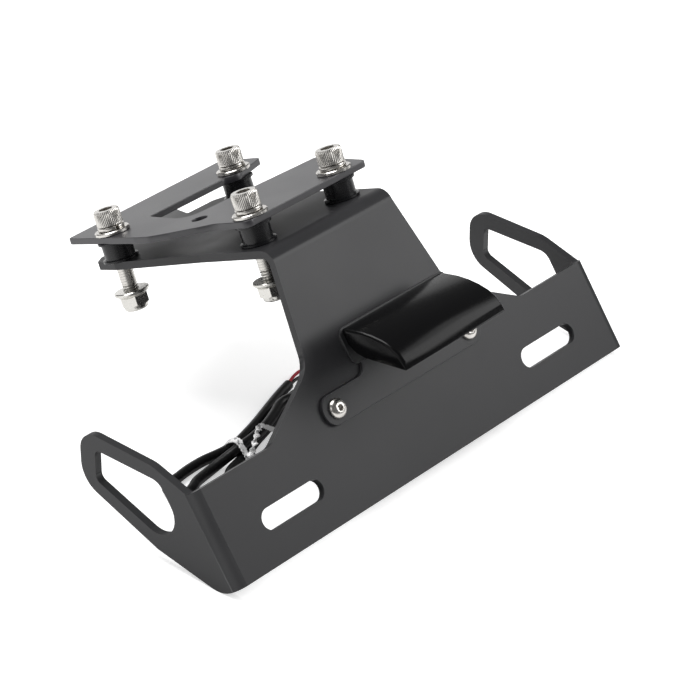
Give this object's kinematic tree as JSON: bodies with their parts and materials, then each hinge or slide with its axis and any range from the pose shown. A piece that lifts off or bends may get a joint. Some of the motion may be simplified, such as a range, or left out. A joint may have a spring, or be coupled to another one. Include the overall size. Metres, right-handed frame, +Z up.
{
  "type": "tail tidy",
  "caption": "Folded black number plate bracket with side wings, a plate lamp, and a bolted clamp plate that grips a motorbike's tail.",
  "frame": {"origin": "centre of the four tail bolts on the flange's top face", "axes": "+X to the right across the plate panel, +Y forwards under the seat, +Z up; the plate panel leans back from -Y as it does in the picture"},
  "size_m": [0.218, 0.1606, 0.0993],
  "materials": {
    "black_powder": "satin black powder coat",
    "clamp_black": "satin black powder coat",
    "lamp_plate": "satin black powder coat",
    "spacer_black": "black anodised, turned",
    "stainless": "bright turned stainless steel",
    "lamp_black": "satin black moulding",
    "board_white": "white circuit board",
    "lens": "clear moulding",
    "rubber": "black rubber",
    "sheath": "soft black sheath",
    "wire_red": "red insulation",
    "wire_black": "black insulation"
  },
  "bodies": {
    "root": {"main_bracket": "black_powder", "clamp_plate": "clamp_black", "lamp_bracket": "lamp_plate", "lamp_hood": "lamp_black", "lamp_base": "lamp_black", "lamp_board": "board_white", "lamp_lens": "lens", "grommet": "rubber", "lead": "sheath", "wire_red": "wire_red", "wire_black": "wire_black", "cap_bolt_front_left": "stainless", "spring_washer_front_left": "stainless", "flat_washer_front_left": "stainless", "flange_nut_front_left": "stainless", "spacer_front_left": "spacer_black", "cap_bolt_front_right": "stainless", "spring_washer_front_right": "stainless", "flat_washer_front_right": "stainless", "flange_nut_front_right": "stainless", "spacer_front_right": "spacer_black", "cap_bolt_rear_left": "stainless", "spring_washer_rear_left": "stainless", "flat_washer_rear_left": "stainless", "flange_nut_rear_left": "stainless", "spacer_rear_left": "spacer_black", "cap_bolt_rear_right": "stainless", "spring_washer_rear_right": "stainless", "flat_washer_rear_right": "stainless", "flange_nut_rear_right": "stainless", "spacer_rear_right": "spacer_black", "lamp_screw_left": "stainless", "lamp_washer_left": "stainless", "lamp_nut_left": "stainless", "lamp_screw_right": "stainless", "lamp_washer_right": "stainless", "lamp_nut_right": "stainless"}
  },
  "joints": []
}
